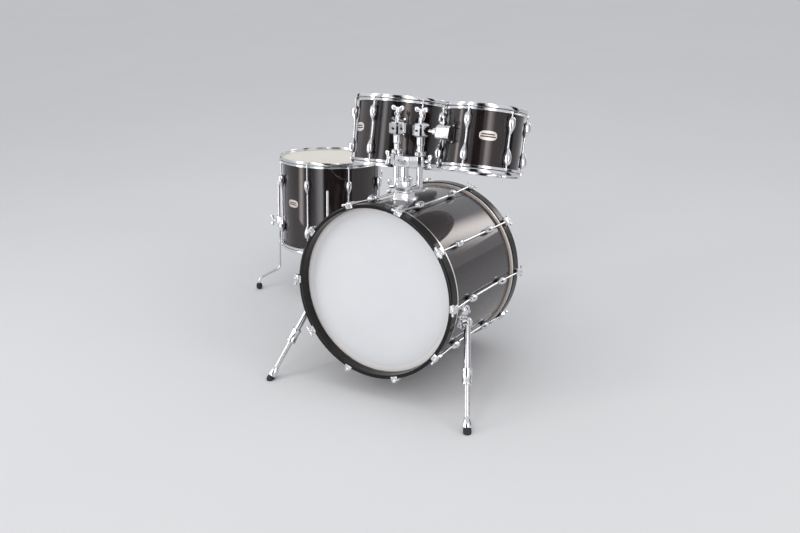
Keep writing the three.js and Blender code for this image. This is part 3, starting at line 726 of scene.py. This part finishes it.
POST_AT = KIT @ shift((POST["x"], POST["y"], 0))
ARM = dict(x=44, y=-37, r=11, bottom=318, neck=14)
BALL = dict(z=508, r=19, housing=28, half=21, nut=22)
SPLIT = Vector((0.47, -0.88, 0)).normalized()
BASE = dict(foot=39.6, top=27, ratio=0.85, low=255, skirt_top=301, boss_top=340, boss=20.8, bearing=233)
RECEIVER = dict(bottom=388, top=424, end=18.2, boss=20.6)


def make_base():
    base = Piece("cast", "chrome")
    skirt, summit, boss = BASE["skirt_top"], BASE["boss_top"], BASE["boss"]
    steps = 7
    rings = []
    for i in range(steps + 1):
        t = i / steps
        half = BASE["foot"] + (BASE["top"] - BASE["foot"]) * t ** 0.8
        z = BASE["low"] + (skirt - BASE["low"]) * t
        ring = []
        for u, v in rounded(half, half * BASE["ratio"], 6):
            floor = math.sqrt((BASS["r"] + 0.4) ** 2 - u * u)
            ring.append((u, v, max(z, floor)))
        rings.append(ring)
    base.loft(rings, I4, "cast")
    base.prism(rounded(BASE["top"], BASE["top"] * BASE["ratio"], 6), skirt - 4, skirt, I4, "cast", 1.2)
    facets = [(boss - 6, boss), (boss, boss - 6)]
    facets += [(x, -y) for x, y in reversed(facets)]
    facets += [(-x, y) for x, y in reversed(facets)]
    base.prism(facets, skirt - 2, summit - 0.2, I4, "cast", 1.0)
    base.prism(rounded(boss + 2.6, boss + 1.2, 5), skirt - 1, skirt + 6, I4, "cast", 1.2)
    ear_at = turn(BASE["bearing"])
    low, high = summit - 28, summit - 4
    ear = 32.8
    base.box((boss - 6, -8.8, low), (ear, -1.3, high), ear_at, "cast", 1.6)
    base.box((boss - 6, 1.3, low), (ear, 8.8, high), ear_at, "cast", 1.6)
    for sx in (1, -1):
        for sy in (1, -1):
            spot = Vector((sx * 31.5, sy * 26.5, 0))
            height = math.sqrt(BASS["r"] ** 2 - spot.x ** 2)
            screw = [(0, 0), (4, 0), (4, 5.2), (2.8, 6.2), (0, 6.2)]
            base.lathe(screw, shift(spot + Z * (height + 2)), "chrome", 16)
    base.place("holder_base_casting", "bass_drum", POST_AT, ["holder_base"], "chrome")
    out = polar(math.radians(BASE["bearing"]))
    wing_at = POST_AT @ aimed(out * (ear + 0.5) + Z * (summit - 16), out) @ turn(90)
    make_wing("base_wing_bolt", "base_wing", wing_at, "holder_base_wing", 5)


def make_post():
    lock_at = POST_AT @ shift((0, 0, 340.2))
    make_collar("post_memory_lock", "post_lock", lock_at, "holder_post_lock", POST["r"])
    post = Piece("chrome")
    r, low, high = POST["r"], POST["bottom"], POST["top"] - 0.6
    post.lathe([
        (r - 2.4, low), (r - 0.6, low), (r, low + 0.8), (r, high), (r - 2.4, high), (r - 2.4, low),
    ], I4, "chrome", 48)
    post.place("holder_post_tube", "post", POST_AT, ["holder_post"], "chrome")


def make_receiver():
    """The bar that carries both arms: flat-fronted, with seams where its clamps are split."""
    bar = Piece("cast", "black")
    low, high, end = RECEIVER["bottom"], RECEIVER["top"], RECEIVER["end"]
    side, back = ARM["x"] + end, ARM["y"] + end
    front = POST["y"] - RECEIVER["boss"]
    shoulder = ARM["y"] - end
    half_outline = [(26, front), (46, shoulder - 2), (side - 4, shoulder + 2), (side, ARM["y"] - 10),
                    (side, back - 8), (side - 8, back)]
    outline = half_outline + [(-x, y) for x, y in reversed(half_outline)]
    bar.prism(outline, low + 0.2, high - 0.2, I4, "cast", 1.6, 3)
    middle = (low + high) / 2
    seam = 26.3
    for x in (-seam, seam):
        bar.box((x - 0.7, front - 0.3, low + 1.5), (x + 0.7, front + 4.9, high - 1.5), I4, "black")
    for x, y, way in ((-12, front, (0, -1, 0)), (12, front, (0, -1, 0)), (54, shoulder, (0.4, -0.9, 0))):
        bar.rod(2.7, -2, 0.5, aimed((x, y + 0.2, middle + 3), way), "black", 14)
    bar.place("holder_receiver_block", "post", KIT, ["holder_receiver"], "chrome")
    for name, way in (("left", -1), ("right", 1)):
        at = KIT @ aimed((way * (side + 0.6), ARM["y"], middle), (way, 0, 0)) @ turn(90)
        make_wing(f"{name}_receiver_wing_bolt", f"{name}_receiver_wing", at, f"{name}_receiver_wing", 3)


def make_arm(name, side, direction, length):
    z, half, housing = BALL["z"], BALL["half"], BALL["housing"]
    at = KIT @ shift((side * ARM["x"], ARM["y"], 0))
    collar_at = at @ shift((0, 0, RECEIVER["top"] + 0.2))
    make_collar(f"{name}_arm_memory_lock", f"{name}_arm_lock", collar_at, f"{name}_arm_lock", ARM["r"], -90)
    arm = Piece("cast", "chrome", "black")
    split = math.degrees(math.atan2(SPLIT.y, SPLIT.x))
    gap = 7.5
    low, high = z - half, z + half
    arm.lathe([
        (20.3, low + 1), (housing - 6, low), (housing - 0.2, low + 5),
        (housing - 0.2, high - 5), (housing - 6, high), (20.3, high - 1), (20.3, low + 1),
    ], I4, "cast", 9, split + gap, 360 - 2 * gap)

    def port(knife):
        knife.rod(13.5, 0, housing + 8, aimed((0, 0, z), direction), None, 32)

    arm.carve(port)
    lid = 22.5
    upper = [(0, high - 3), (lid, high - 3), (lid, high - 0.6), (14, high + 2), (0, high + 2)]
    arm.lathe(upper, I4, "cast", 40)
    arm.lathe([(0, low - 1), (16, low - 1), (lid, low + 1), (lid, low + 3), (0, low + 3)], I4, "cast", 40)
    arm.prism(hexagon(9), high, high + BALL["nut"] - 6, I4, "chrome", 1.0)
    arm.lathe([
        (0, high + 14), (7.4, high + 14), (7.4, high + 19), (5, high + 21.6), (0, high + 21.8),
    ], I4, "cast", 24)
    arm.lathe([
        (0, ARM["bottom"]), (10.2, ARM["bottom"]), (ARM["r"], ARM["bottom"] + 0.8), (ARM["r"], 460),
        (0, 460),
    ], I4, "chrome", 40)
    arm.lathe([
        (0, 456), (11.6, 456), (13.6, 460), (ARM["neck"], 464), (ARM["neck"], low - 5), (15.5, low),
        (0, low + 1),
    ], I4, "cast", 40)
    # The black box sunk in the housing's split is painted shade: it stands where the open slot only shows
    # shadow.
    slot_at = aimed((0, 0, z), SPLIT)
    arm.box((-half + 3, -3.2, 21.5), (half - 3, 3.2, housing - 3.5), slot_at, "black")
    arm.rod(2.4, -4, 4, slot_at @ shift((0, 10.5, housing - 4)) @ turn(90, "Y"), "chrome", 12)
    arm.place(f"{name}_arm_tube", f"{name}_arm", at, [f"{name}_arm"], "chrome")
    wing_at = at @ shift((0, 0, high + BALL["nut"] + 0.3))
    make_wing(f"{name}_clamp_wing_bolt", f"{name}_clamp_wing", wing_at, f"{name}_clamp_wing", 7)

    ball = Piece("resin", "chrome")
    r = BALL["r"]
    profile = [(0, -r)] + [
        (r * math.cos(math.radians(a)), r * math.sin(math.radians(a))) for a in range(-80, 81, 10)
    ] + [(0, r)]
    ball.lathe(profile, I4, "resin", 36)
    ball.prism(hexagon(6.1), 12, length, aimed((0, 0, 0), direction), "chrome", 0.5)
    ball.lathe([(0, 14), (9.5, 14), (8.4, 21), (0, 21)], aimed((0, 0, 0), direction), "resin", 28)
    ball.place(f"{name}_ball_and_rod", f"{name}_ball", at @ shift((0, 0, z)), [f"{name}_ball_rod"], "resin")


def make_tom_mount(name, drum, tom_at, ball, direction, reach, half, side, height, sleeve):
    """The block that takes the rod, running back to a curved plate on the shell."""
    mount = Piece("cast", "chrome", "black")
    to_tom = tom_at.inverted() @ KIT
    centre = ball + direction * reach
    local = to_tom @ centre
    angle = math.atan2(local.y, local.x)
    r = drum["r"]
    thick = 4
    on_shell(mount, rounded(25.5, 31.5, 9, 6), r, angle, local.z, plate_layers(thick), I4, "black")
    ahead = (to_tom.to_3x3() @ direction).normalized()
    across = Z.cross(ahead).normalized()
    up = ahead.cross(across)
    outline = rounded(side, height - 0.8, 14, 6)
    rings = []
    for behind, scale in ((0, 0.78), (1.6, 0.88), (4.5, 0.95), (9, 1.0), (2 * half, 1.0)):
        centre_of_ring = local + ahead * (behind - half)
        rings.append([centre_of_ring + (across * u + up * v) * scale for u, v in outline])
    last = []
    for u, v in outline:
        p = local + across * u + up * v
        a = ahead.x ** 2 + ahead.y ** 2
        b = 2 * (p.x * ahead.x + p.y * ahead.y)
        c = p.x ** 2 + p.y ** 2 - (r + 3) ** 2
        root = b * b - 4 * a * c
        reach_in = (-b - math.sqrt(root)) / (2 * a) if root > 0 else half + 12
        last.append(p + ahead * max(reach_in, half + 0.5))
    rings.append(last)
    mount.loft(rings, I4, "cast")
    mouth = aimed(local - ahead * (half + 0.1), ahead)
    mount.lathe([
        (6.9, -sleeve), (10.5, -sleeve), (11.5, -sleeve + 1), (12.5, 0.6), (6.9, 0.6), (6.9, -sleeve),
    ], mouth, "cast", 28)
    for u in (-1, 1):
        for v in (-1, 1):
            around = angle + u * 19 / r
            seat = polar(around) * (r + thick) + Z * (local.z + v * 25)
            mount.lathe([(0, 0), (4.2, 0), (4.2, 2.2), (2.6, 3.4), (0, 3.4)],
                        aimed(seat, polar(around)), "chrome", 16)
    mount.place(f"{name}_tom_mount_block", f"{name}_tom", tom_at, [f"{name}_tom_mount"], "chrome")
    wing_at = KIT @ aimed(centre + Z * (height + 0.3), Z)
    make_wing(f"{name}_mount_wing_bolt", f"{name}_mount_wing", wing_at, f"{name}_mount_wing", 3)


def make_holder():
    make_base()
    make_post()
    make_receiver()
    left_ball = Vector((-ARM["x"], ARM["y"], BALL["z"]))
    right_ball = Vector((ARM["x"], ARM["y"], BALL["z"]))
    left_way = LEFT_TOM_AT - left_ball
    right_way = RIGHT_TOM_AT + polar(math.radians(238)) * 152 - right_ball
    for way in (left_way, right_way):
        way.z = 0
        way.normalize()
    make_arm("left", -1, left_way, 54)
    make_arm("right", 1, right_way, 107)
    make_tom_mount("left", LEFT_TOM, LEFT_AT, left_ball, left_way, 46, 12, 20, 25, 1.4)
    make_tom_mount("right", RIGHT_TOM, RIGHT_AT, right_ball, right_way, 88.5, 22, 18, 25, 14)


# ------------------------------ spurs

SPUR_PIVOT = Vector((291, -145, -73))
SPUR_FOOT = Vector((385.2, -307.9, -372.7))


def make_spur(name, side):
    mirror = Matrix.Scale(-1, 4, X) if side < 0 else I4
    down = SPUR_FOOT - SPUR_PIVOT
    hinge = Vector((-down.z, 0, down.x)).normalized()
    along = mirror @ aimed(SPUR_PIVOT, down)
    bracket = Piece("cast", "chrome")
    bearing = math.atan2(SPUR_PIVOT.z, SPUR_PIVOT.x)
    to_drum = mirror @ turn(90, "X")
    thick = 5
    on_shell(bracket, rounded(25, 29, 16, 6), BASS["r"], bearing, -SPUR_PIVOT.y,
             plate_layers(thick), to_drum, "cast")
    disc_at = mirror @ aimed(SPUR_PIVOT, hinge)
    bracket.lathe([
        (0, -24), (20, -24), (22.6, -21), (22.8, -14.2), (21, -12.7), (0, -12.7),
    ], disc_at, "cast", 48)
    round_shell = 36  # from the bracket's middle to the dome's
    dome_way = polar(bearing + round_shell / BASS["r"])
    dome_at = to_drum @ aimed(dome_way * BASS["r"] + Z * (4 - SPUR_PIVOT.y), dome_way)
    bracket.lathe([
        (0, -2), (21, -2), (21, 5), (19.5, 10.5), (15, 16), (8, 19.4), (0, 20.5),
    ], dome_at, "chrome", 48)
    bracket.lathe([(0, 18), (5, 18), (5, 23), (3.8, 24.4), (0, 24.4)], dome_at, "cast", 20)
    bracket.rod(3.9, -15, 13, disc_at, "chrome", 18)
    nut = [(0, 12.4), (8.6, 12.4), (8.6, 14.4), (6.4, 16.2), (0, 16.6)]
    bracket.lathe(nut, disc_at, "chrome", 24)
    for v in (-1, 1):
        seat = polar(bearing) * (BASS["r"] + thick) + Z * (-SPUR_PIVOT.y + v * 23.5)
        bracket.lathe([(0, 0), (4.2, 0), (4.2, 2), (2.6, 3.2), (0, 3.2)],
                      to_drum @ aimed(seat, polar(bearing)), "chrome", 16)
    bracket.place(f"{name}_spur_bracket_casting", "bass_drum", KIT, [f"{name}_spur_bracket"], "chrome")

    tube = Piece("chrome", "cast", "black")
    tube.lathe([
        (4.6, -11.6), (13.6, -11.6), (14.8, -10.2), (14.8, 10.2), (13.6, 11.6), (4.6, 11.6), (4.6, -11.6),
    ], disc_at, "cast", 40)
    tube.lathe([(0, 11.5), (10.8, 11.5), (11, 15), (11, 154), (0, 154)], along, "chrome", 40)
    tube.lathe([
        (9.4, 149.4), (15, 149.4), (17, 151.5), (17.2, 160), (16.2, 162), (16.2, 190), (17.2, 192),
        (17.2, 199.5), (15.6, 201.8), (9.4, 201.8), (9.4, 149.4),
    ], along, "cast", 48)
    tube.rod(3.0, 15.6, 17.3, along @ shift((0, 0, 176)) @ turn(-75) @ turn(90, "Y"), "black")
    tube.place(f"{name}_spur_upper_tube", f"{name}_spur", KIT, [f"{name}_spur_tube"], "chrome")

    leg = Piece("satin", "chrome")
    leg.rod(9, 95, 304, along, "satin", 40)
    leg.lathe([
        (0, 301), (9.4, 301), (11.5, 306), (14.6, 316), (15.8, 326), (15.8, 334), (15, 335.8), (0, 335.8),
    ], along, "chrome", 40)
    leg.place(f"{name}_spur_lower_tube", f"{name}_spur_foot", KIT, [f"{name}_spur_leg"], "satin_steel")

    tip = Piece("rubber")
    tip.lathe([
        (0, 336.4), (12.7, 336.4), (13, 338), (13, 341.5), (12.4, 342.2), (13, 343), (12.8, 351),
        (11.5, 355.6), (8, 358), (0, 358.4),
    ], along, "rubber", 40)
    tip.place(f"{name}_spur_rubber_tip", f"{name}_spur_foot", KIT, [f"{name}_spur_tip"], "rubber", 0.3)


# ------------------------------ floor tom's legs

LEG = dict(out=18, r=5.1, top=262, bend=16, toe=90, drop=44, shin=32, ball=14, sink=1.2)
LEG_BEARINGS = (210.5, 300.5, 75.5)
LEG_TOES = (224, 300.5, 75.5)
BRACKET = dict(z=86, half=23, side=15, depth=29)


def make_leg(number, bearing, toe_bearing):
    base_at = KIT @ shift(FLOOR_TOM_AT)
    outward = polar(math.radians(bearing))
    x = FLOOR_TOM["r"] + LEG["out"]
    top = outward * x + Z * LEG["top"]
    end = top + polar(math.radians(toe_bearing)) * LEG["toe"]
    down = base_at.to_3x3() @ Z
    world = base_at @ Vector((end.x, end.y, 0))
    end.z = (LEG["ball"] - LEG["sink"] - world.z) / down.z
    ankle = end + Z * LEG["shin"]
    knee = Vector((top.x, top.y, ankle.z + LEG["drop"]))
    bend = LEG["bend"]
    slope = (ankle - knee).normalized()
    path = [top, knee + Z * bend * 3]
    for corner, before, after in ((knee, Z, slope), (ankle, -slope, -Z)):
        first, last = corner + before * bend, corner + after * bend
        for i in range(9):
            t = i / 8
            path.append(first * (1 - t) ** 2 + corner * 2 * t * (1 - t) + last * t ** 2)
    path.append(end + Z * 2)
    name = f"floor_tom_leg_{number}"
    leg = Piece("chrome")
    leg.tube(path, LEG["r"], I4, "chrome", 20)
    leg.place(f"{name}_rod", name, base_at, [name], "chrome")

    foot = Piece("rubber")
    r = LEG["ball"]
    foot.lathe([
        (0, -r), (r * 0.45, -r * 0.93), (r * 0.78, -r * 0.66), (r * 0.91, -r * 0.28), (r * 0.925, 0.1 * r),
        (r * 0.86, r * 0.48), (r * 0.68, r * 0.76), (r * 0.5, r * 0.92), (5.6, r * 0.95), (5.4, r * 0.8),
        (0, r * 0.8),
    ], shift(end), "rubber", 36)
    foot.place(f"{name}_rubber_foot", name, base_at, [f"{name}_foot"], "rubber", 0.2)

    bracket = Piece("cast")
    z = BRACKET["z"]
    at = base_at @ turn(bearing)
    r = FLOOR_TOM["r"]
    rings = []
    for height, scale in ((0.4, 1.0), (17, 1.0), (25, 0.98), (28, 0.9), (28.8, 0.8)):
        ring = []
        for u, v in rounded(BRACKET["side"], BRACKET["half"], 6):
            base = math.sqrt(r * r - u * u) if height < 1 else r
            ring.append((base + height, u * scale, z + v * scale))
        rings.append(ring)
    bracket.loft(rings, I4, "cast")

    def drill(knife):
        knife.rod(5.7, z - 40, z + 40, shift((x, 0, 0)), None, 28)

    bracket.carve(drill)
    bracket.place(f"{name}_bracket_casting", "floor_tom", at, [f"{name}_bracket"], "chrome")
    wing_at = at @ aimed((r + BRACKET["depth"] + 0.3, 0, z), X) @ turn(90)
    make_wing(f"{name}_wing_bolt", f"floor_tom_wing_{number}", wing_at, f"{name}_wing", 3)


# ------------------------------ studio


def softbox(name, place, target, size, power, colour):
    light = bpy.data.lights.new(name, "AREA")
    light.shape = "RECTANGLE"
    light.size, light.size_y = size
    light.energy = power
    light.color = colour
    obj = add_object(name, light)
    way = Vector(target) - Vector(place)
    obj.matrix_world = shift(place) @ way.to_track_quat("-Z", "Y").to_matrix().to_4x4()
    return obj


def card(name, place, target, size, colour, strength, stops):
    """A board that only reflections see, fading across its width: stops are (place, opacity)."""
    half_x, half_y = size[0] / 2, size[1] / 2
    mesh = bpy.data.meshes.new(name)
    mesh.from_pydata([(-half_x, -half_y, 0), (half_x, -half_y, 0), (half_x, half_y, 0), (-half_x, half_y, 0)],
                     [], [(0, 1, 2, 3)])
    material = bpy.data.materials.new(name)
    material.use_nodes = True
    tree = material.node_tree
    tree.nodes.clear()
    split = tree.nodes.new("ShaderNodeSeparateXYZ")
    tree.links.new(tree.nodes.new("ShaderNodeTexCoord").outputs["Generated"], split.inputs["Vector"])
    ramp = tree.nodes.new("ShaderNodeValToRGB")
    ramp.color_ramp.interpolation = "EASE"
    for _ in stops[2:]:
        ramp.color_ramp.elements.new(0.5)
    for element, (spot, opacity) in zip(ramp.color_ramp.elements, stops):
        element.position = spot
        element.color = (opacity, opacity, opacity, 1)
    tree.links.new(split.outputs["X"], ramp.inputs["Fac"])
    glow = tree.nodes.new("ShaderNodeEmission")
    glow.inputs["Color"].default_value = (*colour, 1)
    glow.inputs["Strength"].default_value = strength
    mix = tree.nodes.new("ShaderNodeMixShader")
    tree.links.new(ramp.outputs["Color"], mix.inputs[0])
    tree.links.new(tree.nodes.new("ShaderNodeBsdfTransparent").outputs[0], mix.inputs[1])
    tree.links.new(glow.outputs[0], mix.inputs[2])
    tree.links.new(mix.outputs[0], tree.nodes.new("ShaderNodeOutputMaterial").inputs["Surface"])
    mesh.materials.append(material)
    obj = add_object(name, mesh)
    way = Vector(target) - Vector(place)
    way.z = 0
    obj.matrix_world = shift(place) @ way.to_track_quat("-Z", "Y").to_matrix().to_4x4()
    obj.visible_camera = False
    obj.visible_diffuse = False
    obj.visible_shadow = False


def make_studio():
    scene = bpy.context.scene
    scene.view_settings.view_transform = "Standard"
    world = bpy.data.worlds.new("studio")
    scene.world = world
    world.use_nodes = True
    world.node_tree.nodes["Background"].inputs["Color"].default_value = (0.95, 0.96, 1.0, 1)
    world.node_tree.nodes["Background"].inputs["Strength"].default_value = 0.8
    floor = Piece("floor")
    floor.box((-30000, -30000, -20), (30000, 30000, 0))
    obj = floor.build("floor")
    aim = (0, 0, 0.45)
    for name, place, size, power, colour in (
        ("key_left", (-2.3, -2.6, 2.2), (0.8, 2.2), 22, (1.0, 0.96, 0.94)),
        ("front_fill", (0.6, -3.6, 2.2), (0.8, 2.4), 16, (1.0, 0.98, 0.97)),
        ("right", (3.2, -0.4, 2.0), (0.8, 2.2), 16, (1.0, 0.96, 0.94)),
        ("overhead", (0.1, -0.3, 3.4), (2.6, 2.2), 16, (1.0, 1.0, 1.0)),
    ):
        softbox(name, place, aim, size, power, colour).visible_glossy = False
    middle = (0.1, 0.1, 0)
    pink, blue, warm = (1.0, 0.94, 0.92), (0.93, 0.95, 1.0), (1.0, 0.93, 0.91)
    peak = [(0.0, 0.0), (0.5, 1.0), (1.0, 0.0)]
    card("streak_left", (-2.06, -1.93, 1.5), middle, (0.95, 3.0), pink, 5.5, peak)
    late = [(0.0, 0.0), (0.75, 1.0), (1.0, 0.0)]
    card("streak_middle_low", (-0.1, -2.44, 0.4), middle, (1.3, 0.9), blue, 4.2, late)
    card("streak_middle_high", (-0.5, -2.42, 2.0), middle, (0.9, 2.2), blue, 4.0, peak)
    early = [(0.0, 0.0), (0.35, 1.0), (1.0, 0.0)]
    card("streak_right", (2.3, -1.85, 1.9), middle, (1.3, 2.4), warm, 4.6, early)
    card("panel_back", (1.2, 2.3, 1.55), middle, (1.1, 1.6), pink, 5.0, peak)
    black, flat = (0.0, 0.0, 0.0), [(0.0, 0.0), (0.2, 1.0), (0.8, 1.0), (1.0, 0.0)]
    card("gap", (0.95, -2.6, 1.5), middle, (1.5, 3.0), black, 0.0, flat)
    card("gap_left", (-1.15, -2.75, 1.5), middle, (0.35, 3.0), black, 0.0, peak)
    card("gap_right", (2.9, 0.9, 1.5), middle, (1.1, 3.0), black, 0.0, flat)
    card("gap_back", (-2.7, 1.5, 1.5), middle, (1.2, 3.0), black, 0.0, flat)


# ------------------------------ everything

place_camera()
make_drum("bass", BASS, BASS_AT, "bass_drum", ("front", "back"), ("white", "clear"))
for prefix, drum, at, body, azimuth, lift in (
    ("left_tom", LEFT_TOM, LEFT_AT, "left_tom", 234.7, 8),
    ("right_tom", RIGHT_TOM, RIGHT_AT, "right_tom", 301.7, 9),
    ("floor_tom", FLOOR_TOM, FLOOR_AT, "floor_tom", 255, 12),
):
    make_drum(prefix, drum, at, body, ("top", "bottom"), ("coated", "clear"))
    make_badge(f"{prefix}_badge", drum, azimuth, lift, at, body)
make_holder()
make_spur("right", 1)
make_spur("left", -1)
for number, (bearing, toe) in enumerate(zip(LEG_BEARINGS, LEG_TOES), 1):
    make_leg(number, bearing, toe)
make_studio()
